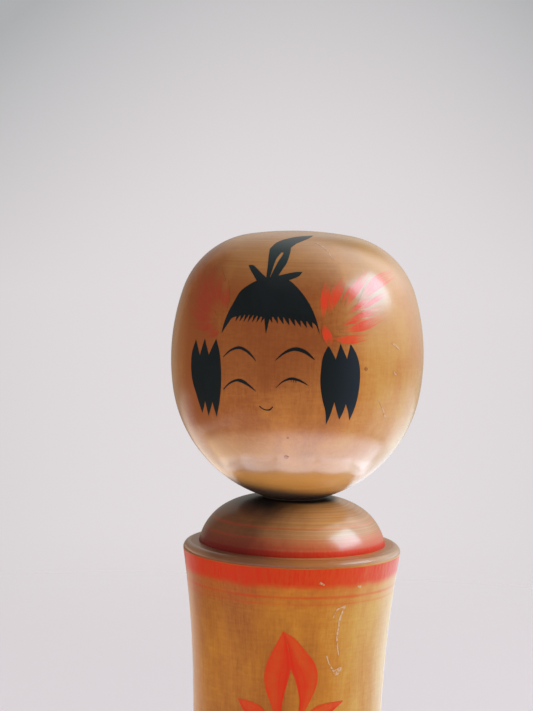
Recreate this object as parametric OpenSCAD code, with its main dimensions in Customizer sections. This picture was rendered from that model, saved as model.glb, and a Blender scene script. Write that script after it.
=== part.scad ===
// Turned wooden kokeshi doll whose head turns in a socket in the body.
// Millimetres, +Z up. The origin is the centre of the foot, on the plane that the doll stands on.
// The flower on the trunk faces -Y. Both pieces come off a lathe, so each is one outline, revolved.

/* [Head] */
// Widest width of the head, at the cheeks
head_d = 78; // [72:0.5:84]
// Radius of the turn from the crown to the temples
temple_r = 25.6; // [24:0.2:27]
// Radius of the full cheeks
cheek_r = 66; // [58:0.5:72]
// Radius of the long curve from the cheeks to under the chin
jaw_r = 41.4; // [40:0.2:43]

/* [Neck and tenon] */
// Width of the short neck that the head stands on
neck_d = 19.2; // [18.6:0.2:21]
// Height of that neck under the chin
neck_h = 0.3; // [0.2:0.1:2]
// Width of the straight part of the tenon
tenon_d = 16; // [14:0.2:17]
// Length of the straight part of the tenon
tenon_h = 8; // [6:0.5:11]
// Clearance all round the straight part of the tenon
turning_fit = 0.06; // [0.03:0.01:0.1]
// Clearance all round the bead that holds the tenon in its socket
bead_gap = 0.3; // [0.25:0.05:0.4]

/* [Body] */
// Height from the foot to the shoulder ledge
trunk_h = 145.5; // [120:0.5:170]
// Widest width, at the ledge and at the foot
trunk_d = 67.6; // [66:0.2:74]
// Radius of the rolled edges of the ledge and the foot
edge_r = 2.2; // [1:0.1:2.8]
// Radius of the flare next to those edges
flare_r = 340; // [260:10:400]
// Width of the dome where it stands on the ledge
dome_d = 58; // [56:0.5:60]
// Radius of the dome's shoulder
shoulder_r = 16.6; // [15.6:0.1:17.4]
// Depth of the hollow turned into the foot
foot_hollow = 0.6; // [0.3:0.1:1.2]

/* [Hidden] */

// Most that a flat of an outline may lie inside the curve that it stands for, and most that it may turn
FLAT_ERROR = 0.01;
FLAT_TURN = 7.5;
$fn = 180;

// Outward directions of the outlines where one arc runs into the next, in degrees above level
CROWN_END = 81;     // crown to temple
TEMPLE_END = 18;    // temple to cheek
CHEEK_END = -8.5;   // cheek to jaw
DOME_TOP_END = 60;  // flatter top of the dome to its shoulder
SHOULDER_END = 11;  // foot of the dome's shoulder
FLARE_END = 9;      // rolled edge to flare, above level at the foot and as far below it at the ledge
WAIST_END = 3.2;    // flare to waist, likewise
LEAD_END = 18;      // hollow that leads out to the bead
BEAD_END = -35;     // bead to its rounded tip

// Radii of the tenon's bead, and of the wider space below the socket's mouth that it pops into
lead_r = 6;
bead_r = 7;
bead_tip_r = 2.5;
socket_r = 8.5;

// Width of the ring that the doll stands on, rolled edge included
foot_ring_w = 9;

neck_r = neck_d / 2;
tenon_r = tenon_d / 2;

// Vector of length r in direction a
function polar(r, a) = r * [cos(a), sin(a)];

// The head's arcs, from its widest level: the cheek sets the temple and the jaw, and the crown's arc
// closes the outline on the axis
cheek_c = [head_d / 2 - cheek_r, 0];
temple_c = cheek_c + polar(cheek_r - temple_r, TEMPLE_END);
jaw_c = cheek_c + polar(cheek_r - jaw_r, CHEEK_END);
jaw_end = -acos((neck_r - jaw_c.x) / jaw_r);
crown_r = temple_r + temple_c.x / cos(CROWN_END);
crown_rise = temple_c.y + crown_r - (crown_r - temple_r) * sin(CROWN_END);
neck_drop = -jaw_c.y - jaw_r * sin(jaw_end);

// The dome's top arc spans from the shoulder's arc to the seat round the neck
dome_top_r = (dome_d / 2 - neck_r - shoulder_r * (cos(SHOULDER_END) - cos(DOME_TOP_END)))
    / cos(DOME_TOP_END);
dome_h = shoulder_r * (sin(DOME_TOP_END) - sin(SHOULDER_END)) + dome_top_r * (1 - sin(DOME_TOP_END));
seat_z = trunk_h + dome_h;
head_top = seat_z + neck_h + neck_drop + crown_rise;

// The waist's arc takes up the height that the rolled edges and the flares leave
waist_r = (trunk_h / 2 - edge_r * (1 + sin(FLARE_END)) - flare_r * (sin(FLARE_END) - sin(WAIST_END)))
    / sin(WAIST_END);

// Sphere that hollows the foot inside its ring
foot_hollow_r = trunk_d / 2 - foot_ring_w;
foot_sphere_r = (foot_hollow_r ^ 2 + foot_hollow ^ 2) / (2 * foot_hollow);

// How many flats stand for an arc of radius r that turns by sweep
function flats(r, sweep) = ceil(abs(sweep) / min(FLAT_TURN, 2 * acos(1 - FLAT_ERROR / r)));

// Points along smoothly joined arcs that start at point p with outward direction a. Each turn is
// [radius, outward direction at the arc's end], and a radius below zero makes a hollow arc.
function curve(p, a, turns, i = 0) =
    i == len(turns) ? [p] :
    let (r = turns[i][0], end = turns[i][1], c = p - polar(r, a), n = flats(abs(r), end - a))
    concat([for (k = [0 : n - 1]) c + polar(r, a + (end - a) * k / n)],
        curve(c + polar(r, end), end, turns, i + 1));

function reversed(points) = [for (i = [len(points) - 1 : -1 : 0]) points[i]];

// Where the outline's last point would meet the axis
function on_axis(points) = [0, points[len(points) - 1].y];

// Bead under the straight part of the tenon, or with a gap the space for it in the socket
function bead(gap, full_r) = curve([tenon_r + gap, seat_z - tenon_h], 0, [
    [gap - lead_r, LEAD_END],
    [full_r, BEAD_END],
    [bead_tip_r + gap, -90],
]);

// Head and tenon in one piece: the bead pops through the socket's mouth once and can't come back
module head() {
    skull = curve([0, head_top], 90, [
        [crown_r, CROWN_END],
        [temple_r, TEMPLE_END],
        [cheek_r, CHEEK_END],
        [jaw_r, jaw_end],
    ]);
    tenon = bead(0, bead_r);
    color("#d98a35") rotate_extrude()
        polygon(concat(skull, [[neck_r, seat_z], [tenon_r, seat_z]], tenon, [on_axis(tenon)]));
}

// Domed shoulder, flat ledge and gently waisted trunk, with a blind socket that is undercut for the bead
module body() {
    dome = curve([neck_r, seat_z], 90, [
        [dome_top_r, DOME_TOP_END],
        [shoulder_r, SHOULDER_END],
    ]);
    trunk = curve([trunk_d / 2 - edge_r, trunk_h], 90, [
        [edge_r, -FLARE_END],
        [-flare_r, -WAIST_END],
        [-waist_r, WAIST_END],
        [-flare_r, FLARE_END],
        [edge_r, -90],
    ]);
    foot = curve([0, foot_hollow], -90, [
        [-foot_sphere_r, -90 - asin(foot_hollow_r / foot_sphere_r)],
    ]);
    mouth_r = tenon_r + turning_fit;
    socket = concat([[mouth_r, seat_z], [mouth_r, seat_z - tenon_h]], bead(bead_gap, socket_r));
    color("#cf7d2e") rotate_extrude()
        polygon(concat(dome, trunk, reversed(foot), [on_axis(socket)], reversed(socket)));
}

head();
body();
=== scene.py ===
"""Looks of the kokeshi doll, made round the CAD part's own head and body in the same frame.

The turned wood is the CAD part itself with a better material. Hair, face, flowers and flame are thin films
of ink and dye laid on it. Points on a turned surface are (azimuth, drop). Azimuth is degrees round from the
front of the part, toward the viewer's right. Drop is millimetres down: along the head's surface from its
crown, or straight down from the ledge on the trunk. In materials, lengths are in metres.
"""

import math

import bpy
import numpy as np
from mathutils import Matrix, Vector


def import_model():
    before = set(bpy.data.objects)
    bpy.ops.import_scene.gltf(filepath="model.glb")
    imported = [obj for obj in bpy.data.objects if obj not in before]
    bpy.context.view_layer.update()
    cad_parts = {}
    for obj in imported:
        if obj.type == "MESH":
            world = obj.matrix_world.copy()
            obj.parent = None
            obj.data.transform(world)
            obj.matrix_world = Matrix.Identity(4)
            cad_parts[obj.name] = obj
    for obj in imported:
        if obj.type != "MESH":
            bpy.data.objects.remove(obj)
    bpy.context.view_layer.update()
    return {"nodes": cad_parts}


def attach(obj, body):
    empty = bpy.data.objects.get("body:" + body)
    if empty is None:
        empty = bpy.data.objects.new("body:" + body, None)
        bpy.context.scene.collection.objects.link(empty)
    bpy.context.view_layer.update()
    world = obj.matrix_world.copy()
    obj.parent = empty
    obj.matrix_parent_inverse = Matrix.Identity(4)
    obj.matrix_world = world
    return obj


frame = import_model()

MM = 0.001
FACE_TURN = -13.0  # the painted face looks this far toward the viewer's left, degrees
LEDGE = 145.5  # height of the ledge round the dome, mm
CHIN = 160.0  # the head's outline is read down to here, just under its rounded part, mm
RIM = 2.0  # the trunk's outline is read from this far inside its two ends, mm
SLOPE_REACH = 0.5  # the slope at a point is read this far above and below it, mm
WELD = 1e-6  # the CAD faces' corners that are nearer than this are joined, m
WOOD_CREASE = math.radians(35)  # edges of the turned wood sharper than this stay sharp
FILM_CREASE = math.radians(50)  # and those of a film
FILM_DEPTH = 0.1  # a film starts this far under the wood, mm
FILM_RISE = 0.045  # and stands this far above it, mm
FILM_STEP = 0.006  # each further film stands this much higher, mm
FINEST = 0.03  # a brush stroke's least half width, mm
STEM = 1.2  # the flower's stem runs down the trunk at this azimuth, degrees
BUMP = 0.012  # depth of the wood's grain, mm
DOME_FOOT = 0.0286  # radius at which the dome meets the ledge, m
ROLL_END = 0.1432  # height at which the ledge's rolled edge runs into the trunk, m

# Colours of the wood, deep to pale
HEAD_TONES = (0.27, 0.072, 0.012), (0.47, 0.175, 0.029), (0.56, 0.320, 0.076)
BODY_TONES = (0.27, 0.072, 0.012), (0.455, 0.172, 0.017), (0.55, 0.328, 0.066)

# Places on the head's crown, m
CROWN_PITH = (0.0031, -0.0167)  # where the end grain's rings centre
CROWN_STAIN = (0.0126, -0.0125, 0.2385)  # the darker end grain beside it

# The head's tints
STAIN_BROWN = (0.22, 0.10, 0.05)
SPECK_BROWN = (0.22, 0.05, 0.016)
# painted highlight for the band low on the head
JAW_HIGHLIGHT_TAN = (0.44, 0.30, 0.125)
CHIN_GOLD = (0.62, 0.28, 0.050)
CHIN_BROWN = (0.30, 0.105, 0.022)
# painted shade under the head at the neck
UNDER_HEAD_SHADE = (0.042, 0.030, 0.024)
# painted shade for the front of the face
FACE_SHADE_BROWN = (0.20, 0.050, 0.010)
# painted light for the right cheek
CHEEK_LIT_FAIR = (0.62, 0.38, 0.140)
# painted sheen for the head's left rim
LEFT_RIM_SHEEN_TAN = (0.50, 0.27, 0.090)
# painted light for the crown
CROWN_LIT_TAN = (0.50, 0.29, 0.090)

# The body's tints
# painted sheen for the body's left rim
BODY_LEFT_RIM_SHEEN = (0.42, 0.165, 0.040)
# low down: painted shade on the left, painted light on the right
LOW_SHADED_LEFT = (0.42, 0.155, 0.032)
LOW_LIT_RIGHT = (0.52, 0.260, 0.060)
DOME_SHADED = (0.11, 0.036, 0.017)
DOME_LIT = (0.66, 0.34, 0.120)
# less painted light on the dome's right, under the window's highlight
DOME_UNDER_HIGHLIGHT = (0.42, 0.20, 0.10)
DOME_LINES = (0.12, 0.038, 0.013)
# painted shadow of the head on the dome
HEAD_SHADOW_ON_DOME = (0.021, 0.016, 0.014)
# painted light on the ledge's flat top, painted shade on its roll
LEDGE_FLAT_LIT = (0.62, 0.30, 0.100)
LEDGE_ROLL_SHADE = (0.42, 0.150, 0.036)
LEDGE_SHADED = (0.13, 0.058, 0.032)
# painted sheen at the ledge's two ends
LEDGE_RIGHT_SHEEN = (0.50, 0.32, 0.20)
LEDGE_LEFT_SHEEN = (0.40, 0.25, 0.16)
LEDGE_LINES = (0.15, 0.055, 0.018)
# painted shade in the crease under the ledge
LEDGE_CREASE_SHADE = (0.14, 0.030, 0.009)

# Dyes, ink and scratches
DYE_RED = (0.50, 0.022, 0.002)
DYE_BRIGHT = (0.67, 0.034, 0.006)
DYE_DEEP = (0.56, 0.010, 0.001)
DYE_ORANGE = (0.58, 0.030, 0.002)
DYE_DULL = (0.31, 0.019, 0.010)
DYE_SHADED = (0.15, 0.009, 0.006)
INK = (0.0060, 0.0095, 0.0095)
INK_WORN = (0.010, 0.015, 0.018)
# painted sheen of the window on the ink
INK_WINDOW_SHEEN = (0.016, 0.024, 0.036)
INK_TOP_SHEEN = (0.010, 0.028, 0.030)
SCRATCH = (0.66, 0.60, 0.52)

WAX = {"Coat_Weight": 1.0, "Coat_Roughness": 0.205, "Coat_IOR": 1.47, "Specular_IOR_Level": 0.05}
THIN_WAX = {**WAX, "Coat_Weight": 0.6, "Coat_Roughness": 0.22}

# The room
WALL_DIM = (0.42, 0.43, 0.44)
WALL_BRIGHT = (0.765, 0.72, 0.735)
ROOM_LIGHT = (0.80, 0.775, 0.79)
GLOSS_DIM = (0.28, 0.25, 0.20)
GLOSS_BRIGHT = (3.28, 3.25, 3.22)
FLOOR_DARK = (0.69, 0.65, 0.66)
FLOOR_PALE = (0.72, 0.68, 0.69)
FLOOR_SEEN = (0.800, 0.758, 0.768)
CARD_DARK = (0.075, 0.062, 0.055)


# Turned surfaces


class Turning:
    """The outline of a turned part between two heights in mm, read downward from the frame's mesh."""

    def __init__(self, node, low, high, turn=0.0, sloped=True):
        self.body = node
        mesh = frame["nodes"][node].data
        points = np.empty(len(mesh.vertices) * 3)
        mesh.vertices.foreach_get("co", points)
        x, y, z = points.reshape(-1, 3).T / MM
        inside = (z > low) & (z < high)
        heights, ring = np.unique(np.round(z[inside], 2), return_inverse=True)
        radii = np.zeros(len(heights))
        np.maximum.at(radii, ring, np.hypot(x, y)[inside])
        self.heights, self.radii = heights[::-1], radii[::-1]
        fall = -np.diff(self.heights)
        steps = np.hypot(fall, np.diff(self.radii)) if sloped else fall
        first = 0 if sloped else LEDGE - self.heights[0]
        self.drops = np.append(0, np.cumsum(steps)) + first
        self.turn = turn

    def radius(self, drop):
        return np.interp(drop, self.drops, self.radii)

    def height(self, drop):
        return np.interp(drop, self.drops, self.heights)

    def place(self, points, rise):
        """The 3D points, in metres, that stand a rise in mm off the surface at (azimuth, drop) points."""
        azimuth = np.radians(points[..., 0] + self.turn)
        drop = points[..., 1]
        before, after = drop - SLOPE_REACH, drop + SLOPE_REACH
        outward = self.radius(after) - self.radius(before)
        down = self.height(after) - self.height(before)
        length = np.hypot(outward, down)
        radius = self.radius(drop) - rise * down / length
        height = self.height(drop) + rise * outward / length
        return np.stack([radius * np.sin(azimuth), -radius * np.cos(azimuth), height], -1) * MM


def smooth(points, steps=10):
    """A smooth curve through the points."""
    p = np.array(points, float)
    p = np.vstack([2 * p[0] - p[1], p, 2 * p[-1] - p[-2]])
    t = np.linspace(0, 1, steps, endpoint=False)[:, None]
    runs = []
    for a, b, c, d in zip(p, p[1:], p[2:], p[3:]):
        bend = (2 * a - 5 * b + 4 * c - d) * t**2 + (3 * b - a - 3 * c + d) * t**3
        runs.append(b + ((c - a) * t + bend) / 2)
    return np.vstack([*runs, p[-2:-1]])


def even(points, count):
    """The same curve as evenly spaced points."""
    run = np.append(0, np.cumsum(np.hypot(*np.diff(points, axis=0).T)))
    at = np.linspace(0, run[-1], count)
    return np.stack([np.interp(at, run, column) for column in points.T], -1)


def region(edge, other, count=48):
    """A sheet between two edges, each a list of (azimuth, drop) points."""
    return even(smooth(edge), count), even(smooth(other), count)


def stroke(turning, points, steps=8):
    """A sheet along a brush stroke of (azimuth, drop, half width in mm) points."""
    path = smooth(points, steps)
    azimuth, drop, half = path.T
    degrees = np.degrees(1 / turning.radius(drop))
    along = np.gradient(azimuth) / degrees
    down = np.gradient(drop)
    length = np.hypot(along, down)
    half = np.maximum(half, FINEST)
    side = np.stack([-down / length * half * degrees, along / length * half], -1)
    centre = path[:, :2]
    return centre + side, centre - side


def strokes(turning, paths):
    return [stroke(turning, points) for points in paths]


def film(name, turning, sheets, material, rows, level=0):
    """One piece of paint: a closed thin film over each of its sheets, each a step higher than the last.

    A piece that lies over others starts from a higher level. Rows is the number of cells across a sheet.
    """
    verts, faces, spots = [], [], []
    across = np.linspace(0, 1, rows + 1)
    first = 0
    for number, (edge, other) in enumerate(sheets, level):
        count = len(edge)
        grid = edge[:, None] + (other - edge)[:, None] * across[:, None]
        along = np.linspace(0, 1, count)
        spot = np.stack(np.broadcast_arrays(along[:, None], across[None]), -1).reshape(-1, 2)
        for rise in (FILM_RISE + FILM_STEP * number, -FILM_DEPTH):
            verts.append(turning.place(grid, rise).reshape(-1, 3))
            spots.append(spot)
        faces += shell(first, count, rows + 1)
        first += 2 * len(spot)
    return piece(name, turning.body, np.vstack(verts), faces, np.vstack(spots), material)


def shell(first, count, width):
    """Faces of a closed film: its upper sheet, its lower sheet and the wall round them."""
    under = first + count * width
    faces = []
    for i in range(count - 1):
        for j in range(width - 1):
            a = i * width + j
            quad = (a, a + width, a + width + 1, a + 1)
            faces.append([first + k for k in quad])
            faces.append([under + k for k in reversed(quad)])
    rim = list(range(width))
    rim += [i * width + width - 1 for i in range(1, count)]
    rim += [(count - 1) * width + j for j in range(width - 2, -1, -1)]
    rim += [i * width for i in range(count - 2, 0, -1)]
    for a, b in zip(rim, rim[1:] + rim[:1]):
        faces.append([first + a, first + b, under + b, under + a])
    return faces


def added(name, data):
    """A new object in the scene."""
    made = bpy.data.objects.new(name, data)
    bpy.context.scene.collection.objects.link(made)
    return made


def piece(name, body, verts, faces, spots, material):
    """A mesh object that rides on a body, shaded smoothly but for its sharp edges."""
    mesh = bpy.data.meshes.new(name)
    mesh.from_pydata(verts.tolist(), [], faces)
    layer = mesh.uv_layers.new(name="stroke")
    corner = np.empty(len(mesh.loops), np.int32)
    mesh.loops.foreach_get("vertex_index", corner)
    layer.data.foreach_set("uv", spots[corner].ravel())
    mesh.materials.append(material)
    mesh.shade_smooth()
    mesh.set_sharp_from_angle(angle=FILM_CREASE)
    mesh.validate()
    made = added(name, mesh)
    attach(made, body)
    return made


def smoothed():
    """A modifier's node group that joins the CAD faces' vertices and shades the turned surface smoothly."""
    group = bpy.data.node_groups.new("smooth_turning", "GeometryNodeTree")
    for way in ("INPUT", "OUTPUT"):
        group.interface.new_socket("Geometry", in_out=way, socket_type="NodeSocketGeometry")
    add = group.nodes.new
    join = add("GeometryNodeMergeByDistance")
    join.inputs["Distance"].default_value = WELD
    forget = add("GeometryNodeRemoveAttribute")
    forget.inputs["Name"].default_value = "custom_normal"
    soft = add("GeometryNodeSetShadeSmooth")
    crease = add("GeometryNodeSetShadeSmooth")
    crease.domain = "EDGE"
    crease.inputs["Shade Smooth"].default_value = False
    angle = add("GeometryNodeInputMeshEdgeAngle")
    steep = add("FunctionNodeCompare")
    steep.data_type, steep.operation = "FLOAT", "GREATER_THAN"
    steep.inputs["B"].default_value = WOOD_CREASE
    group.links.new(angle.outputs["Unsigned Angle"], steep.inputs["A"])
    group.links.new(steep.outputs["Result"], crease.inputs["Selection"])
    chain = [add("NodeGroupInput"), join, forget, soft, crease, add("NodeGroupOutput")]
    for before, after in zip(chain, chain[1:]):
        group.links.new(before.outputs[0], after.inputs[0])
    return group


# Materials


class Graph:
    """A node tree and short calls that add nodes to it."""

    def __init__(self, tree):
        self.tree = tree

    def put(self, socket, value):
        if isinstance(value, bpy.types.NodeSocket):
            self.tree.links.new(value, socket)
        else:
            socket.default_value = value

    def node(self, kind, *inputs, **settings):
        made = self.tree.nodes.new("ShaderNode" + kind)
        for key, value in settings.items():
            setattr(made, key, value)
        for socket, value in zip(made.inputs, inputs):
            self.put(socket, value)
        return made

    def calc(self, operation, *values, clamp=False):
        return self.node("Math", *values, operation=operation, use_clamp=clamp).outputs[0]

    def scaled(self, value, by, plus):
        return self.calc("MULTIPLY_ADD", value, by, plus)

    def product(self, first, *others):
        for other in others:
            first = self.calc("MULTIPLY", first, other)
        return first

    def shaken(self, value, noise, reach):
        """The value, moved up and down by noise, at most half the reach each way."""
        return self.calc("ADD", value, self.scaled(noise, -reach, reach / 2))

    def vector(self, operation, *values, output="Vector"):
        return self.node("VectorMath", *values, operation=operation).outputs[output]

    def parts(self, vector):
        return self.node("SeparateXYZ", vector).outputs

    def along(self, value):
        """A place that moves in one direction only."""
        return self.node("CombineXYZ", value, 0.0, 0.0).outputs[0]

    def flat_length(self, vector):
        level = self.vector("MULTIPLY", vector, (1, 1, 0))
        return self.vector("LENGTH", level, output="Value")

    def noise(self, place, stretch, scale, detail=2.0, rough=0.5, warp=0.0):
        """Noise with cells of 1/scale metres, stretched along the axes."""
        made = self.node("TexNoise", self.vector("MULTIPLY", place, stretch))
        settings = {"Scale": scale, "Detail": detail, "Roughness": rough, "Distortion": warp}
        for key, value in settings.items():
            made.inputs[key].default_value = value
        return made.outputs[0]

    def step(self, value, low, high):
        """0 where the value is at low, 1 where it is at high, smoothly between."""
        return self.node("MapRange", value, low, high, interpolation_type="SMOOTHSTEP").outputs[0]

    def band(self, value, low, high, soft_low, soft_high):
        """1 from low + soft_low to high, smoothly down to 0 at low and at high + soft_high."""
        rise = self.step(value, low, low + soft_low)
        fall = self.step(value, high, high + soft_high)
        return self.product(rise, self.calc("SUBTRACT", 1.0, fall))

    def mix(self, amount, a, b):
        """The colour a where the amount is 0, b where it is 1."""
        made = self.node("Mix", data_type="RGBA")
        self.put(made.inputs[0], amount)
        for socket, value in zip(made.inputs[6:8], (a, b)):
            self.put(socket, value if isinstance(value, bpy.types.NodeSocket) else (*value, 1))
        return made.outputs[2]

    def mix_value(self, amount, a, b):
        made = self.node("Mix", amount)
        self.put(made.inputs[2], a)
        self.put(made.inputs[3], b)
        return made.outputs[0]


class Look(Graph):
    """A material, with the values that its shader has all over."""

    def __init__(self, name, **values):
        self.material = bpy.data.materials.new(name)
        self.material.use_nodes = True
        super().__init__(self.material.node_tree)
        self.inputs = self.tree.nodes["Principled BSDF"].inputs
        for socket, value in values.items():
            self.inputs[socket.replace("_", " ")].default_value = value

    def finish(self, colour, rough, height, depth):
        """Links the shader. Depth is the height's full range in mm."""
        bump = self.node("Bump")
        bump.inputs["Strength"].default_value = 1
        bump.inputs["Distance"].default_value = depth * MM
        self.put(bump.inputs["Height"], height)
        self.put(self.inputs["Base Color"], colour)
        self.put(self.inputs["Roughness"], rough)
        for socket in ("Normal", "Coat Normal"):
            self.put(self.inputs[socket], bump.outputs[0])
        return self.material


class Wood:
    """Old waxed hand-turned wood, its grain upright, with pores, lathe lines, ripple, mottle and clouds.

    The functions below that tint it also keep masks on it, for the gloss and the dyes.
    """

    def __init__(self, g, tones, paler, middle, weave, pith=(0.0, 0.0), darkest=-1.0):
        """Tones are deep, mid and pale. Paler is how much the tone rises per mm along each axis, from a
        middle height in mm, and darkest is the lowest that this change goes. Weave is the strength of the
        fibres and lathe lines. Pith is where the end grain's rings centre, in m.
        """
        self.g = g
        coordinates = g.node("TexCoord")
        self.place = coordinates.outputs["Object"]
        self.x, _, self.z = g.parts(self.place)
        self.radius = g.flat_length(self.place)
        self.fibre = g.noise(self.place, (1, 1, 0.045), 1500, 4, 0.62)
        self.mottle = g.noise(self.place, (1, 1, 0.40), 62, 4, 0.55, 0.4)
        cloud = g.noise(self.place, (1, 1, 0.8), 22, 2, 0.5)
        ripple = g.noise(self.place, (1, 1, 2.6), 420, 1, 0.5, 0.6)
        pores = g.noise(self.place, (1, 1, 0.07), 3600, 2, 0.5)
        pore = g.step(pores, 0.60, 0.72)
        facing = g.parts(coordinates.outputs["Normal"])[2]
        tool = self.tool_marks(g.step(g.calc("ABSOLUTE", facing), 0.55, 0.9), pith)
        self.lines = self.growth_lines(cloud)
        layers = (
            (self.fibre, 0.46 * weave),
            (tool, 0.22 * weave),
            (ripple, 0.18),
            (self.mottle, 0.95),
            (cloud, 0.80),
        )
        tone = g.calc("ADD", self.bias(paler, middle, darkest), 0.5 - sum(share for _, share in layers) / 2)
        for layer, share in layers:
            tone = g.scaled(layer, share, tone)
        tone = g.scaled(pore, -0.10, tone)
        self.colour = self.ramp(tone, tones)
        height = g.scaled(self.fibre, 0.35, g.product(tool, 0.5))
        self.height = g.scaled(pore, -0.35, height)
        self.rough = g.scaled(self.mottle, 0.16, 0.34)

    def bias(self, paler, middle, darkest):
        """The slow change of the tone over the whole piece."""
        g = self.g
        centred = g.vector("ADD", self.place, (0, 0, -middle * MM))
        rise = g.vector("DOT_PRODUCT", centred, [share / MM for share in paler], output="Value")
        return g.calc("MAXIMUM", rise, darkest)

    def tool_marks(self, flat, pith):
        """Lathe lines on the sides, and the end grain's rings where the surface is flat."""
        g = self.g
        lathe = g.noise(self.place, (0.03, 0.03, 1), 1300, 3, 0.6)
        from_pith = g.vector("ADD", self.place, (-pith[0], -pith[1], 0))
        rings = g.noise(g.along(g.flat_length(from_pith)), (1, 1, 1), 900, 3, 0.6)
        return g.calc("ADD", g.product(lathe, g.calc("SUBTRACT", 1.0, flat)), g.product(rings, flat))

    def growth_lines(self, cloud):
        """Lines where the sloping surface cuts across the years' growth."""
        g = self.g
        run = g.scaled(cloud, 0.004, g.calc("SUBTRACT", self.z, self.radius))
        return g.step(g.noise(g.along(run), (1, 1, 1), 760, 4, 0.7), 0.34, 0.66)

    def ramp(self, tone, tones):
        made = self.g.node("ValToRGB", tone)
        stops = made.color_ramp.elements
        stops[0].position, stops[1].position = 0.12, 0.88
        stops.new(0.5)
        for stop, colour in zip(stops, tones):
            stop.color = (*colour, 1)
        return made.outputs[0]

    def tint(self, mask, share, colour):
        """Mixes in a colour where the mask is 1."""
        self.colour = self.g.mix(self.g.product(mask, share), self.colour, colour)

    def dye(self, mask, colour):
        """Lets a transparent dye soak in, more along some fibres than along others."""
        uneven = self.g.scaled(self.fibre, 0.8, 0.50)
        self.colour = self.g.mix(self.g.calc("MULTIPLY", mask, uneven, clamp=True), self.colour, colour)


def head_grain(g):
    """The head's wood with painted light and shade: brown on the face, fair on its right cheek, jaw and
    crown, paler on its left rim, dark at the neck.
    """
    # The tone is paler to the right, toward the back and lower down: painted light from the window and from
    # below, and painted shade on the front.
    wood = Wood(g, HEAD_TONES, (0.0085, 0.0055, -0.0030), 198, 0.55, pith=CROWN_PITH)
    ragged_x = g.scaled(wood.mottle, 0.010, wood.x)
    from_stain = g.vector("DISTANCE", wood.place, CROWN_STAIN, output="Value")
    stain = g.step(g.scaled(wood.mottle, 0.008, from_stain), 0.016, 0.006)
    # Painted highlight: a paler, less red tan low on the head, where the bright band of reflection lies
    # under the face.
    jaw_highlight = g.step(wood.z, 0.187, 0.169)
    chin = g.step(wood.z, 0.1715, 0.1680)
    # Painted shade on the front of the face, which gets little light from the dim room in front.
    face = g.product(g.step(ragged_x, 0.019, 0.003), g.step(wood.x, -0.035, -0.028))
    face = g.product(face, g.band(wood.z, 0.193, 0.230, 0.010, 0.010))
    # Painted light on the right cheek, which faces the window.
    lit_cheek = g.product(g.step(ragged_x, 0.014, 0.024), g.step(wood.z, 0.203, 0.214))
    # A paler left rim: the wax's grazing sheen painted into the colour.
    left_rim_sheen = g.step(wood.x, -0.032, -0.038)
    # Painted light on the crown, which faces the light from above; little of it on the left.
    crown = g.product(g.step(wood.z, 0.222, 0.238), g.step(ragged_x, -0.022, -0.012))
    under = g.step(wood.z, 0.1690, 0.1625)
    # Painted shade under the head round the neck, where it sits close over the dome.
    leaning = g.scaled(wood.x, 0.18, wood.radius)
    wood.dirt = g.product(g.step(leaning, 0.0214, 0.0150), g.step(wood.z, 0.18, 0.17))
    wood.tint(stain, 0.45, STAIN_BROWN)
    wood.tint(jaw_highlight, 0.42, JAW_HIGHLIGHT_TAN)
    wood.tint(chin, 0.50, CHIN_GOLD)
    wood.tint(face, 0.54, FACE_SHADE_BROWN)
    wood.tint(lit_cheek, 0.28, CHEEK_LIT_FAIR)
    wood.tint(left_rim_sheen, 0.40, LEFT_RIM_SHEEN_TAN)
    wood.tint(crown, g.scaled(wood.lines, 0.3, 0.26), CROWN_LIT_TAN)
    wood.tint(under, g.scaled(wood.lines, 0.50, 0.04), CHIN_BROWN)
    wood.tint(wood.dirt, 0.95, UNDER_HEAD_SHADE)
    return wood


def head_wood():
    g = Look("head_wood_waxed", **WAX)
    wood = head_grain(g)
    # The wax's gloss is cut where shade is painted under the head.
    g.put(g.inputs["Coat Weight"], g.scaled(wood.dirt, -0.8, 1.0))
    return g.finish(wood.colour, wood.rough, wood.height, BUMP)


def body_grain(g):
    """The body's wood with painted light and shade: paler to its right, plainer low down and on its left,
    darker on dome and ledge.
    """
    # The tone is paler to the right, toward the window, and darker to the left: painted light and shade.
    wood = Wood(g, BODY_TONES, (0.0125, 0.001, 0.0016), 125, 0.7, darkest=-0.30)
    # A paler far left rim: the wax's grazing sheen painted into the colour, over the painted shade of that
    # side.
    wood.tint(g.step(wood.x, -0.024, -0.031), 0.5, BODY_LEFT_RIM_SHEEN)
    # Low down the tone is plainer, but still darker on the left and paler on the right: painted shade and
    # light.
    low = g.mix(g.step(wood.x, -0.022, 0.026), LOW_SHADED_LEFT, LOW_LIT_RIGHT)
    wood.tint(g.step(wood.z, 0.100, 0.078), 0.55, low)
    top = g.step(wood.z, (LEDGE - 0.6) * MM, (LEDGE - 0.1) * MM)
    ragged_x = g.scaled(wood.mottle, 0.006, wood.x)
    dome_grain(g, wood, top)
    dirt = dome_dirt(g, wood, top, ragged_x)
    # Painted shadow of the head on the dome, and painted shade round the neck.
    wood.tint(dirt, 1.0, HEAD_SHADOW_ON_DOME)
    ledge_grain(g, wood, ragged_x)
    ledge = g.product(top, g.band(wood.radius, DOME_FOOT, 0.0312, 0.0004, 0.0007))
    side_gloss = g.scaled(g.step(wood.x, 0.008, 0.026), 0.24, 0.38)
    dome_gloss = g.scaled(g.step(wood.x, 0.018, 0.026), -0.24, 0.88)
    wood.shine = g.mix_value(top, side_gloss, dome_gloss)
    # Less wax gloss where the head's shadow is painted, and on the ledge.
    wood.shine = g.scaled(g.calc("MAXIMUM", dirt, ledge), -0.55, wood.shine)
    return wood


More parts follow.
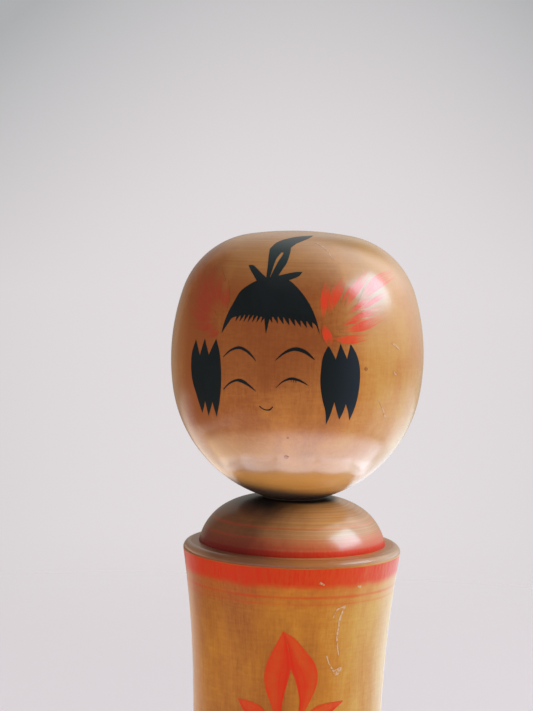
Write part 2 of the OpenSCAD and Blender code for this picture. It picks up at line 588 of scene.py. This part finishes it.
def dome_grain(g, wood, top):
    """The dome's lined end grain with painted light: much lighter toward the window, a little less under
    the window's highlight.
    """
    wood.lit = g.step(g.scaled(wood.mottle, 0.012, wood.x), -0.014, 0.022)
    tan = g.mix(wood.lit, DOME_SHADED, DOME_LIT)
    # Less of the painted light on the right, where the window's highlight already brightens the dome.
    tan = g.mix(g.product(g.step(wood.x, 0.012, 0.021), 0.6), tan, DOME_UNDER_HIGHLIGHT)
    brown = g.mix(g.product(wood.lines, 0.40), tan, DOME_LINES)
    wood.tint(top, 0.85, brown)


def dome_dirt(g, wood, top, ragged_x):
    """Where the head's shadow and shade are painted: round the neck, and out over the dome's left side."""
    spread = g.step(g.scaled(wood.mottle, 0.010, wood.radius), 0.0345, 0.0200)
    sided = g.scaled(g.step(wood.x, -0.024, -0.010), 0.45, 0.55)
    spread = g.product(spread, sided, g.step(ragged_x, 0.010, -0.005))
    return g.product(g.calc("MAXIMUM", spread, g.step(wood.radius, 0.0150, 0.0120)), top)


def ledge_grain(g, wood, ragged_x):
    """The ledge and its rolled edge with painted light and shade: lighter on top, dark in front on the
    left, pale at both ends, a shaded line below.
    """
    # The flat top is lighter than the rolled edge that turns down from it: painted light and shade.
    turned = g.mix(g.step(wood.radius, 0.0298, 0.0322), LEDGE_FLAT_LIT, LEDGE_ROLL_SHADE)
    turned = g.mix(g.step(ragged_x, -0.012, 0.012), LEDGE_SHADED, turned)
    # Paler at both ends of the ledge: the wax's grazing sheen painted into the colour.
    turned = g.mix(g.step(wood.x, 0.022, 0.030), turned, LEDGE_RIGHT_SHEEN)
    turned = g.mix(g.product(g.step(wood.x, -0.022, -0.030), 0.6), turned, LEDGE_LEFT_SHEEN)
    turned = g.mix(g.product(wood.lines, 0.35), turned, LEDGE_LINES)
    roll = g.product(g.step(wood.radius, DOME_FOOT, 0.0290), g.step(wood.z, ROLL_END, 0.1440))
    wood.tint(roll, 0.9, turned)
    # A line of painted shade in the crease under the rolled edge, fading out toward the window side.
    wood.edge = g.product(g.band(wood.z, ROLL_END, 0.1438, 0.0003, 0.0003), g.step(wood.x, 0.030, 0.0))


def body_wood():
    """The body's wood with its turned bands of dye, in mm down from the ledge or up from the foot."""
    g = Look("body_wood_waxed", **WAX)
    wood = body_grain(g)
    wander = g.noise(wood.place, (1, 1, 0.2), 90, 3, 0.6)
    streak = g.noise(wood.place, (1, 1, 0.08), 700, 2, 0.6)
    drop = g.scaled(wood.z, -1 / MM, LEDGE)
    level = g.shaken(drop, wander, 0.5)
    streaky = g.shaken(drop, streak, 0.8)
    washed = g.shaken(streaky, wander, 2.6)
    dome_red = dome_dye(g, wood, level, washed)
    upper = g.calc("SUBTRACT", g.step(level, 2.1, 2.5), g.step(washed, 6.8, 9.6), clamp=True)
    # The band's dye turns lighter and more orange toward the window side: painted light.
    warm = g.mix(g.step(wood.x, -0.006, 0.026), DYE_RED, DYE_ORANGE)
    thin = g.scaled(wander, 1.2, -0.1)
    faint_lines(g, wood, streaky, ((-8.6, -8.0, 0.5, 0.25), (-5.4, -4.9, 0.4, 0.20)), warm)
    wood.dye(upper, warm)
    wood.dye(g.product(g.band(washed, 7, 11, 1, 5), 0.16), warm)
    wood.dye(g.product(g.band(level, 10.5, 11.3, 0.6, 0.6), thin), warm)
    wood.dye(g.product(g.band(level, 12.8, 13.3, 0.6, 0.6), thin, 0.7), warm)
    # Painted shade in the crease under the ledge's rolled edge.
    wood.tint(wood.edge, 0.70, LEDGE_CREASE_SHADE)
    foot = g.calc("SUBTRACT", LEDGE, washed)
    height = g.calc("SUBTRACT", LEDGE, streaky)
    wood.dye(g.band(foot, 2.2, 7.6, 0.35, 2.0), DYE_RED)
    faint_lines(g, wood, height, ((10.9, 11.5, 0.5, 0.6), (13.1, 13.5, 0.4, 0.3)), DYE_RED)
    shine = g.scaled(dome_red, -0.45, wood.shine)
    g.put(g.inputs["Coat Weight"], g.scaled(upper, -0.16, shine))
    return g.finish(wood.colour, wood.rough, wood.height, BUMP)


def faint_lines(g, wood, place, lines, colour):
    """Turned lines of thin dye: where each starts and ends, how soft it is there, and its strength."""
    for start, end, soft, strength in lines:
        wood.dye(g.product(g.band(place, start, end, soft, soft), strength), colour)


def dome_dye(g, wood, level, washed):
    """The dye round the dome's foot, with a thinner wash above it. Gives back the mask of the first."""
    on_dome = g.step(wood.z, LEDGE * MM, (LEDGE + 0.15) * MM)
    red = g.calc("SUBTRACT", on_dome, g.step(level, -1.5, -2.2), clamp=True)
    wash = g.calc("SUBTRACT", on_dome, g.step(washed, -2.0, -7.0), clamp=True)
    shaded = g.mix(wood.lit, DYE_SHADED, DYE_BRIGHT)
    wood.dye(g.product(wash, 0.70), shaded)
    wood.dye(red, shaded)
    return red


def ink():
    """Satin ink with a painted cool sheen on the right and on the top-knot. The wood's grain shows in its
    gloss.
    """
    g = Look("ink_black", **THIN_WAX)
    wood = head_grain(g)
    colour = g.mix(g.step(wood.mottle, 0.35, 0.75), INK, INK_WORN)
    # A bluish sheen of the cool window, painted on the ink's right side.
    colour = g.mix(g.product(g.step(wood.x, 0.006, 0.022), 0.8), colour, INK_WINDOW_SHEEN)
    # A cool sheen painted high on the head, over the top-knot.
    colour = g.mix(g.product(g.step(wood.z, 0.226, 0.236), 0.7), colour, INK_TOP_SHEEN)
    return g.finish(colour, g.scaled(wood.fibre, 0.2, 0.34), wood.height, 0.008)


def red_dye(name, grain, tint, strength, ragged=0.5, fade=0.0, wet=False):
    """Red dye brushed on the wood: streaky along the stroke, darker at its edges.

    It may fade at the stroke's ends, or be wet, which is deeper toward the stroke's second edge.
    """
    g = Look(name, **WAX)
    wood = grain(g)
    where = g.node("UVMap", uv_map="stroke").outputs[0]
    along, across, _ = g.parts(where)
    hairs = g.vector("MULTIPLY", where, (1.5, 9.0, 1))
    streaks = g.noise(hairs, (1, 1, 1), 1, 3, 0.65)
    pools = g.noise(wood.place, (1, 1, 1), 230, 3, 0.6)
    edge = g.calc("ABSOLUTE", g.scaled(across, 2.0, -1.0))
    depth = g.scaled(streaks, ragged, strength - ragged / 2)
    depth = g.scaled(pools, 0.5, g.calc("SUBTRACT", depth, 0.25))
    depth = g.scaled(g.step(edge, 0.6, 0.95), 0.12, depth)
    if fade:
        worn, bare = g.scaled(streaks, 0.9, along), 1.45
        depth = g.calc("MULTIPLY", depth, g.step(worn, bare, bare - fade), clamp=True)
        started = g.scaled(streaks, -0.8, along)
        depth = g.product(depth, g.step(started, -0.42, -0.02), g.step(edge, 1.0, 0.8))
    wood.dye(depth, tint)
    if wet:
        pooled = g.scaled(g.step(across, 0.25, 0.9), 0.7, g.scaled(streaks, 1.5, -0.85))
        pooled = g.calc("MULTIPLY", pooled, 0.90, clamp=True)
        wood.colour = g.mix(pooled, wood.colour, DYE_DEEP)
        g.put(g.inputs["Coat Weight"], wood.shine)
    return g.finish(wood.colour, wood.rough, wood.height, BUMP)


def scuff(name, grain):
    """A pale scratch in the wax, broken along its length."""
    g = Look(name, **WAX)
    wood = grain(g)
    broken = g.noise(wood.place, (1, 1, 1), 1400, 2)
    wood.tint(g.step(broken, 0.36, 0.60), 0.38, SCRATCH)
    return g.finish(wood.colour, wood.rough, broken, 0.004)


def stain():
    """A small dark stain in the wood."""
    g = Look("stain_brown", **WAX)
    wood = head_grain(g)
    soaked = g.calc("MULTIPLY_ADD", wood.fibre, 0.8, 0.2, clamp=True)
    return g.finish(g.mix(soaked, wood.colour, SPECK_BROWN), wood.rough, wood.height, BUMP)


# Paint


def hair(head, black):
    """The cap of hair with its fringe of brush tips."""
    cap = region(
        [
            (-22.5, 55.5), (-22, 53), (-20.5, 49.5), (-18.5, 46.5), (-16, 43), (-12, 40.7), (-8, 39.2),
            (-2, 38), (2.5, 38), (6.5, 38.5), (9.5, 39.5), (13.5, 42), (17, 45), (19.3, 47.7), (21.2, 51),
            (22.5, 54.7),
        ],
        [
            (-22.5, 55.6), (-19.5, 52.4), (-18, 51), (-15, 50.3), (-10.5, 49.7), (-5, 50), (-1, 50.4),
            (2.5, 50), (7, 50.1), (13, 50.8), (18, 51.2), (20.6, 52), (22.5, 54.8),
        ],
        90,
    )
    fringe = [[(-1, 49, 0.9), (-1, 51, 0.7), (-1, 54.9, 0.05)]]
    for k in range(7):
        tip = -3.6 - 2.05 * k
        fringe.append([(tip + 2, 48.6, 0.6), (tip + 1.2, 49.8, 0.5), (tip, 51.8, 0.03)])
    for k in range(8):
        tip = 1.5 + 2.55 * k
        low = 51.7 + 0.2 * k
        fringe.append([(tip - 2.2, low - 3.6, 0.7), (tip - 1.3, low - 2, 0.6), (tip, low, 0.03)])
    film("hair_cap", head, [cap, *strokes(head, fringe)], black, rows=14)


def top_knot(head, black):
    """The two loops of the top-knot with its tail, and the two ends of its tie."""
    left = region(
        [(-3.7, 38.5), (-4.5, 34), (-6.2, 29.3), (-7.3, 26.9)],
        [(-2, 38.5), (-1.4, 35), (-0.6, 31), (2, 27.5)],
    )
    right = region(
        [(-1.9, 38.5), (-0.6, 35.4), (1, 32), (2.6, 29), (1, 26.5)],
        [(1.8, 38), (4, 35), (5.8, 32.5), (6.8, 28), (6.5, 25)],
    )
    tail = region(
        [(-7.3, 27), (-5.2, 23.3), (-1, 21), (5.3, 19), (14.4, 17.1), (26.2, 15.7)],
        [(2, 28.4), (6.7, 25.8), (10, 23.4), (14.3, 21.6), (22.3, 18.2), (26.2, 15.9)],
    )
    film("hair_topknot", head, [left, right, tail], black, rows=10, level=3)
    tie_left = region(
        [(-15.5, 34.1), (-12.5, 34.2), (-8, 36.2), (-2, 39)],
        [(-15.6, 34.2), (-13.5, 35.8), (-11.2, 37.3), (-7.5, 40)],
        20,
    )
    tie_right = region(
        [(14.4, 35.9), (11, 36), (6.5, 36.7), (0, 37.8)],
        [(14.4, 36), (12.5, 37.4), (8.5, 38.6), (3.5, 40)],
        20,
    )
    film("hair_ties", head, [tie_left, tie_right], black, rows=6, level=7)


def lock(name, head, strands, black):
    """A side lock of three broad pointed strands, each between two edges."""
    film(name, head, [region(edge, other, 40) for edge, other in strands], black, rows=8)


def locks(head, black):
    right = [
        (
            [(26.4, 57.9), (24, 61.3), (23.2, 66.2), (23.4, 70), (24.6, 74), (26.2, 77.4), (27.1, 81.6)],
            [(26.4, 57.9), (29.7, 62), (31.5, 66), (31.5, 70), (30, 74.4), (28.6, 78.5), (27.1, 81.6)],
        ),
        (
            [(31.8, 57.4), (29.7, 62), (28.5, 66), (28.5, 71), (30, 74.5), (31.6, 77.6), (33.1, 79.9)],
            [(31.8, 57.4), (34.8, 61.9), (36.5, 66), (36.5, 71), (35.5, 74.8), (34.4, 77.8), (33.1, 79.9)],
        ),
        (
            [(36.5, 57.4), (34.8, 61.9), (33.5, 66), (33.5, 71), (35.2, 74.7), (37, 77.6), (38.2, 80.2)],
            [
                (36.5, 57.4), (39.3, 60.5), (40.9, 64.1), (41.3, 68.3),
                (40.8, 73.3), (39.6, 77.2), (38.2, 80.2),
            ],
        ),
    ]
    left = [
        (
            [(-25.2, 57.4), (-22.8, 61.4), (-21.7, 66.7), (-22, 71.8), (-23.8, 77), (-26.2, 80.8)],
            [(-25.2, 57.4), (-28.9, 62.3), (-31, 66), (-30.5, 71), (-27.6, 76.2), (-26.2, 80.8)],
        ),
        (
            [(-32.1, 57.7), (-28.9, 62.3), (-27, 66), (-27, 71), (-27.6, 76.2), (-31.4, 80.9)],
            [(-32.1, 57.7), (-34.6, 62.8), (-36, 66), (-35, 71), (-32.2, 76.4), (-31.4, 80.9)],
        ),
        (
            [(-38.1, 58.2), (-34.6, 62.8), (-33, 66), (-32, 71), (-32.4, 76.4), (-35.5, 80.1)],
            [(-38.1, 58.2), (-40.4, 62.3), (-40.8, 66.9), (-40, 70.7), (-37.7, 74.8), (-35.5, 80.1)],
        ),
    ]
    lock("hair_lock_right", head, right, black)
    lock("hair_lock_left", head, left, black)


def face(head, black):
    """Brows, eyes and mouth, each one fine brush stroke; the right eye has three short drips of ink."""
    features = {
        "brow_left": [
            (-20.7, 62.5, 0.1), (-17, 60.4, 0.27), (-13, 59.5, 0.41),
            (-9.6, 60.2, 0.39), (-7, 61.5, 0.27), (-4.8, 63.1, 0.06),
        ],
        "brow_right": [
            (3.6, 62.7, 0.06), (7.2, 60.5, 0.3), (10.8, 59.3, 0.48),
            (13.8, 59.3, 0.55), (17, 60.2, 0.46), (20.4, 62.1, 0.12),
        ],
        "eye_left": [
            (-20.6, 72.1, 0.12), (-17.5, 70.2, 0.22), (-14, 69.1, 0.35),
            (-11.2, 69.2, 0.52), (-8, 70.3, 0.32), (-4.6, 72, 0.05),
        ],
        "eye_right": [
            (4.2, 70.6, 0.05), (7, 68.8, 0.18), (10.4, 67.8, 0.36),
            (13, 68, 0.36), (15.4, 68.6, 0.26), (18.2, 69.7, 0.05),
        ],
        "mouth": [
            (-3.3, 76.3, 0.18), (-1.7, 77.1, 0.16), (0.1, 77.4, 0.18), (1.6, 77.2, 0.22), (2.9, 76.3, 0.14),
        ],
    }
    drips = [[(a, 68, 0.14), (a + 0.2, 68.7 + 0.15 * k, 0.04)] for k, a in enumerate((10.6, 11.6, 12.6))]
    for name, points in features.items():
        paths = [points, *drips] if name == "eye_right" else [points]
        film(name, head, strokes(head, paths), black, rows=4)


def petal(head, width, *points):
    """A petal from its point near the flower's heart, broad past its middle, to its blunt outer end."""
    spread = np.interp(np.linspace(0, 1, len(points)), (0, 0.35, 0.75, 1), (0.15, 0.8, 1, 0.55))
    return stroke(head, [(*point, width * share) for point, share in zip(points, spread)])


def flowers(head, red, faded):
    right = [
        petal(head, 1.4, (23.9, 51), (24.5, 46.5), (25.6, 42.5), (27.2, 38.6)),
        petal(head, 1.2, (26.6, 49), (27.9, 46), (29.8, 42.4), (32.2, 38.8)),
        petal(head, 1.4, (27.6, 48.6), (29.8, 44.6), (32.6, 41.2), (36.6, 37)),
        petal(head, 0.5, (32.6, 46), (35.2, 43.4), (38.6, 40.8), (43, 38.2)),
        petal(head, 1.5, (34.2, 47), (39, 43), (44.6, 39.2), (53, 35)),
        petal(head, 2.3, (42, 45), (50, 41), (60, 38), (76, 35.6)),
        petal(head, 0.9, (34.6, 49.2), (40.2, 46.8), (45.4, 45), (51, 43.4)),
        petal(head, 0.9, (39, 48.4), (46.4, 46), (54, 43.8), (63, 41.8)),
        petal(head, 1.2, (33.4, 51.4), (40, 49.8), (46.6, 48.4), (56, 46.4)),
        petal(head, 1.7, (31.5, 53.8), (39.3, 52.9), (46.2, 51.5), (57, 49.0)),
        petal(head, 0.5, (30.5, 52.6), (36, 51.4), (41, 50.6), (46, 49.8)),
        petal(head, 1.5, (27.6, 55.8), (33.8, 56.3), (39.1, 56), (47, 55.2)),
        petal(head, 1.5, (24, 51.4), (25.1, 53.8), (26.2, 55.8), (27.4, 58)),
    ]
    left = [
        petal(head, 1.6, (-23, 54.5), (-27, 55.8), (-34, 56.6)),
        petal(head, 1.8, (-25, 53.5), (-34, 54), (-47, 53)),
        petal(head, 2.2, (-26, 52.5), (-38, 50.8), (-52, 47.5)),
        petal(head, 2.5, (-25.5, 51.5), (-38, 47), (-55, 41)),
        petal(head, 2.6, (-24.5, 50), (-37, 43.5), (-57, 35)),
        petal(head, 2.6, (-23.5, 49.5), (-32, 42), (-46, 33.5)),
        petal(head, 2.4, (-22.8, 49), (-27.5, 42.5), (-35, 36)),
        petal(head, 1.8, (-22, 49.5), (-23.5, 45), (-26, 40)),
    ]
    film("flower_right", head, right, red, rows=10)
    film("flower_left", head, left, faded, rows=10)


def marks(head, trunk):
    """Old scratches and stains where the photograph shows them."""
    # A pale broken streak on the crown.
    crown = [[(25, 22.2, 0.25), (30, 26, 0.18), (32.6, 31, 0.05)]]
    on_head = [
        [(52, 74, 0.08), (55.5, 76.8, 0.16), (58.5, 79.6, 0.3)],
        [(59, 57.5, 0.2), (61.5, 58.3, 0.35), (64, 59.5, 0.15)],
        [(60, 66, 0.2), (62, 67, 0.2)],
    ]
    on_trunk = [
        [(30.5, 14.2, 0.25), (26, 15, 0.2), (24, 17.5, 0.12)],
        [(31, 13.8, 0.2), (28.5, 17, 0.3), (27.4, 21, 0.3), (27.4, 25, 0.25), (29, 29.2, 0.12)],
        [(21.4, 28.9, 0.2), (23.8, 32, 0.15), (27.5, 34.5, 0.4)],
        [(26.5, 34.5, 0.7), (28.7, 34.3, 0.9), (31.5, 32.8, 0.25)],
        [(15, 6.5, 0.4), (17.5, 7.2, 0.2)],
        [(37, 8.2, 0.25), (39.5, 8.5, 0.4)],
    ]
    specks = [
        [(43.5, 64.5, 0.3), (44.2, 64.8, 0.5), (45, 64.8, 0.2)],
        [(7.5, 93, 0.3), (8.8, 93.2, 0.6), (10, 93, 0.2)],
        [(9, 86, 0.2), (10, 86.2, 0.35)],
    ]
    film("crown_pale_streak", head, strokes(head, crown), scuff("crown_pale_streak", head_grain), rows=4)
    film("scuffs_head", head, strokes(head, on_head), scuff("scuff_head", head_grain), rows=4, level=12)
    film("scuffs_body", trunk, strokes(trunk, on_trunk), scuff("scuff_body", body_grain), rows=4, level=6)
    film("stains_head", head, strokes(head, specks), stain(), rows=4, level=12)


def flame(trunk, red):
    """A pointed bud of two strokes, with spreading leaves and a stem below it."""
    left = region(
        [
            (-3.6, 21.5), (-5.2, 23.5), (-9, 27.6), (-12, 31.3), (-13.6, 35.4),
            (-12.8, 39.4), (-10, 43.4), (-6.5, 48.5), (0, 56),
        ],
        [
            (-3.3, 21.6), (-1, 25.6), (0.6, 29.6), (1.4, 33), (-0.4, 37.5),
            (-2, 41), (-3.1, 45), (-2.2, 50), (1.2, 56),
        ],
        64,
    )
    right = region(
        [
            (-3.6, 21.4), (3, 23.6), (9, 27.2), (14.6, 31), (16.9, 34.7),
            (16.4, 38.4), (13.6, 42.2), (9.5, 46.8), (2.6, 56),
        ],
        [
            (-3.4, 21.5), (-0.6, 26), (0.6, 30), (1.6, 33.2), (4.2, 36.6),
            (6.2, 40.6), (6.9, 44), (5.6, 49.5), (1.4, 56),
        ],
        64,
    )
    film("flower_flame", trunk, [left, right], red, rows=12)
    leaves = [*leaf_side(trunk, -1, -29.6), *leaf_side(trunk, 1, 33.8)]
    film("flower_leaves", trunk, leaves, red, rows=8, level=3)
    stem = [(1.3, 54, 0.5), (STEM, 62, 0.75), (1.0, 74, 0.85), (1.4, 84, 0.7), (STEM, 90, 0.2)]
    film("flower_stem", trunk, strokes(trunk, [stem]), red, rows=6, level=14)


def leaf_side(trunk, side, tip):
    """The leaves on one side of the stem: a broad one that ends at the tip, and three smaller below it."""
    leaves = [region(
        [
            (tip, 43.4), (side * 21.2, 43.9), (side * 14.6, 45.4), (side * 8.6, 49.5),
            (STEM + side * 0.8, 58),
        ],
        [
            (tip, 43.7), (side * 26.5, 46.6), (side * 20.4, 49.4), (side * 11.8, 53.6),
            (STEM + side * 0.6, 58.6),
        ],
    )]
    for k in range(3):
        drop, reach = 54.5 + 8.5 * k, side * (27 - 4.5 * k)
        leaves.append(stroke(trunk, [
            (STEM + reach, drop, 0.25),
            (STEM + reach * 0.78, drop + 0.3, 1.5),
            (STEM + reach * 0.4, drop + 2.8, 1.6),
            (STEM + side * 1.2, drop + 7.5, 0.5),
        ]))
    return leaves


# Light, floor and camera


def aim(thing, place, target):
    """Puts a lamp or card at a place, facing a target."""
    thing.location = place
    thing.rotation_euler = (Vector(target) - Vector(place)).to_track_quat("-Z", "Y").to_euler()


def lamp(name, place, target, size, radiance, colour):
    """A rectangular lamp of a given radiance that the camera doesn't see."""
    light = bpy.data.lights.new(name, "AREA")
    light.shape = "RECTANGLE"
    light.size, light.size_y = size
    light.energy = math.pi * size[0] * size[1] * radiance
    light.color = colour
    made = added(name, light)
    made.visible_camera = False
    aim(made, place, target)
    return made


def upward(name, place, size, radiance, colour):
    """A lamp that faces up and shows only in gloss, as a sunlit part of the table does."""
    made = lamp(name, place, (*place[:2], 1), size, radiance, colour)
    made.visible_diffuse = False
    return made


def only_in_gloss(made):
    """Keeps a mesh that stands in for the room out of everything but gloss."""
    made.visible_camera = made.visible_diffuse = made.visible_shadow = False


def flag(name, place, target, size):
    """A dark card that shows only in the wax's gloss, as the dim side of a room does."""
    w, h = size[0] / 2, size[1] / 2
    mesh = bpy.data.meshes.new(name)
    mesh.from_pydata([(-w, -h, 0), (w, -h, 0), (w, h, 0), (-w, h, 0)], [], [(0, 1, 2, 3)])
    mesh.materials.append(Look(name, Base_Color=(*CARD_DARK, 1), Roughness=1).material)
    made = added(name, mesh)
    aim(made, place, target)
    only_in_gloss(made)


def sunlit_ring():
    """A bright arc round the front, seen only in the gloss under the head, as a sunlit table top is."""
    inner, outer, height, reach, cells = 0.0355, 0.074, 0.1455, 100, 60
    around = np.radians(np.linspace(-reach, reach, cells + 1))
    verts = [(r * math.sin(a), -r * math.cos(a), height) for r in (inner, outer) for a in around]
    far = cells + 1
    faces = [(k, k + 1, far + k + 1, far + k) for k in range(cells)]
    mesh = bpy.data.meshes.new("sunlit_ring")
    mesh.from_pydata(verts, [], faces)
    g = Look("sunlit_ring", Roughness=1.0)
    place = g.node("TexCoord").outputs["Object"]
    soft = g.band(g.flat_length(place), inner, 0.058, 0.004, 0.016)
    side = g.step(g.parts(place)[0], -0.045, 0.0)
    strength = g.product(soft, g.scaled(side, 1.4, 2.9))
    g.put(g.inputs["Base Color"], (0, 0, 0, 1))
    g.put(g.inputs["Emission Color"], g.mix(side, (1.0, 0.84, 0.60), (0.79, 0.96, 1.20)))
    g.put(g.inputs["Emission Strength"], strength)
    mesh.materials.append(g.material)
    only_in_gloss(added("sunlit_ring", mesh))


def wall(g, x, z):
    """The wall that the camera sees: a soft pool of light, dimmer toward its sides and top."""
    up = g.calc("MAXIMUM", g.calc("ADD", z, 0.045), 0.0)
    side = g.calc("MINIMUM", g.calc("DIVIDE", g.product(x, x), 0.018), 1.4)
    loss = g.scaled(side, g.scaled(up, 2.3, 0.14), g.product(up, up, 21.8))
    return g.mix(g.calc("SUBTRACT", 1.0, loss, clamp=True), WALL_DIM, WALL_BRIGHT)


def window_glow(g, toward, z):
    """What gloss sees of the room: bright round the window, weaker low down, with one dark gap behind."""

    def lobe(centre, sharpness, strength):
        facing = g.calc("MAXIMUM", g.vector("DOT_PRODUCT", toward, centre, output="Value"), 0.0)
        return g.product(g.calc("POWER", facing, sharpness), strength)

    glow = g.calc("ADD", lobe((0.627, 0.527, 0.574), 3.0, 1.5), lobe((0.689, 0.278, 0.669), 6.0, 3.2))
    glow = g.product(glow, g.scaled(g.step(z, 0.0, 0.60), 0.40, 0.60))
    glow = g.calc("ADD", glow, lobe((0.342, 0.733, 0.588), 28.0, -2.1))
    return g.mix(g.calc("MULTIPLY", glow, 1 / 3, clamp=True), GLOSS_DIM, GLOSS_BRIGHT)


def world():
    """A pale room: a wall for the camera, a bright side for gloss, even light for everything else."""
    made = bpy.data.worlds.new("pale_room")
    bpy.context.scene.world = made
    made.use_nodes = True
    g = Graph(made.node_tree)
    toward = g.node("TexCoord").outputs["Generated"]
    x, _, z = g.parts(toward)
    rays = g.node("LightPath").outputs
    seen = g.calc("ADD", rays["Is Camera Ray"], rays["Is Transmission Ray"], clamp=True)
    room = g.mix(rays["Is Glossy Ray"], ROOM_LIGHT, window_glow(g, toward, z))
    g.put(g.tree.nodes["Background"].inputs["Color"], g.mix(seen, room, wall(g, x, z)))


def floor():
    """A pale round table top whose far edge fades into the room. The camera sees it a little paler."""
    reach, whole, faded, sides = 1.4, 0.35, 0.9, 96
    angles = np.linspace(0, 2 * math.pi, sides, endpoint=False)
    corners = [(reach * math.cos(t), reach * math.sin(t), 0) for t in angles]
    mesh = bpy.data.meshes.new("floor")
    mesh.from_pydata(corners, [], [list(range(sides))])
    g = Look("floor_pale", Specular_IOR_Level=0.2)
    place = g.node("TexCoord").outputs["Object"]
    grain = g.noise(place, (1, 1, 1), 220, 3)
    colour = g.mix(grain, FLOOR_DARK, FLOOR_PALE)
    colour = g.mix(g.node("LightPath").outputs["Is Camera Ray"], colour, FLOOR_SEEN)
    away = g.vector("LENGTH", place, output="Value")
    g.put(g.inputs["Alpha"], g.step(away, faded, whole))
    mesh.materials.append(g.finish(colour, 0.6, grain, 0.05))
    made = added("floor", mesh)


def camera():
    """The photograph's viewpoint: level with the head's crown and tipped a little down, left and round."""
    place = (0, -0.5863, 0.248)
    pitch, yaw, roll = (math.radians(a) for a in (-4.35, 0.93, 1.57))
    data = bpy.data.cameras.new("camera")
    data.lens, data.sensor_width = 96.2, 36
    data.clip_start = 0.02
    made = added("camera", data)
    turn = Matrix.Rotation(yaw, 4, "Z") @ Matrix.Rotation(math.pi / 2 + pitch, 4, "X")
    made.matrix_world = Matrix.Translation(place) @ turn @ Matrix.Rotation(roll, 4, "Z")
    bpy.context.scene.camera = made


def lights():
    """A cool window to the right, light from the table in front, and what else only the gloss sees."""
    white = (1.0, 0.965, 0.985)
    cool = (0.86, 0.97, 1.12)
    sky = (0.40, 0.88, 1.10)
    pale = (0.74, 0.95, 1.10)
    warm = (1.0, 0.92, 0.74)
    chest = (0, 0, 0.17)
    above = (0, 0, 0.3)
    lamp("window", (1.05, -0.11, 0.86), chest, (0.86, 0.70), 2.4, cool)
    lamp("window_sheen", (1.04, -0.11, 0.87), chest, (0.78, 0.58), 8.6, sky).visible_diffuse = False
    lamp("table_bounce", (0, -0.42, 0.0015), (0, -0.42, 1), (1.6, 0.80), 0.8, white).visible_glossy = False
    sunlit_ring()
    upward("sunlit_floor", (0.50, 0.38, 0.003), (0.84, 0.88), 0.98, pale)
    sunlit_ledge()
    upward("sunlit_left", (-0.20, 0.22, 0.0025), (0.20, 0.68), 0.80, warm)
    upward("sunlit_far", (-0.50, 0.50, 0.0025), (0.40, 0.30), 0.6, warm)
    upward("sunlit_patch", (0.32, 0.27, 0.0035), (0.20, 0.20), 0.6, pale)
    flag("flag_front", (0, -0.95, 0.3), above, (2.2, 1.6))
    flag("flag_left", (-0.75, -0.05, 0.4), above, (2.2, 1.6))
    flag("flag_table", (-0.05, -0.61, 0.012), (-0.05, -0.61, 1), (1.6, 0.78))
    flag("flag_table_left", (-0.60, 0.0, 0.012), (-0.60, 0.0, 1), (0.62, 0.44))


def sunlit_ledge():
    """Five small lamps round the dome's front, for the bright band that the ledge throws under the face."""
    radius, height, size, glare = 0.0305, 0.158, (0.0195, 0.009), (0.84, 0.99, 1.25)
    first, apart = -70, 36
    for number, radiance in enumerate((0.9, 2.7, 3.9, 3.8, 1.5)):
        turn = math.radians(first + apart * number)
        place = (radius * math.sin(turn), -radius * math.cos(turn), height)
        made = upward(f"sunlit_ledge_{number}", place, size, radiance, glare)
        made.rotation_euler.rotate_axis("Z", -turn)


def paint():
    head = Turning("head", CHIN, math.inf, FACE_TURN)
    trunk = Turning("body", RIM, LEDGE - RIM, sloped=False)
    black = ink()
    hair(head, black)
    top_knot(head, black)
    locks(head, black)
    face(head, black)
    red = red_dye("dye_red", head_grain, DYE_BRIGHT, 0.95, ragged=0.8, fade=0.5)
    faded = red_dye("dye_red_faded", head_grain, DYE_DULL, 0.62, ragged=0.8, fade=0.6)
    flowers(head, red, faded)
    flame(trunk, red_dye("dye_red_body", body_grain, DYE_ORANGE, 0.86, wet=True))
    marks(head, trunk)


def dress():
    """Gives the two turned pieces their wood and smooth shading."""
    group = smoothed()
    for name, material in (("head", head_wood()), ("body", body_wood())):
        node = frame["nodes"][name]
        node.data.materials[0] = material
        node.modifiers.new("smooth", "NODES").node_group = group


bpy.context.scene.view_settings.view_transform = "Standard"
camera()
world()
floor()
lights()
dress()
paint()
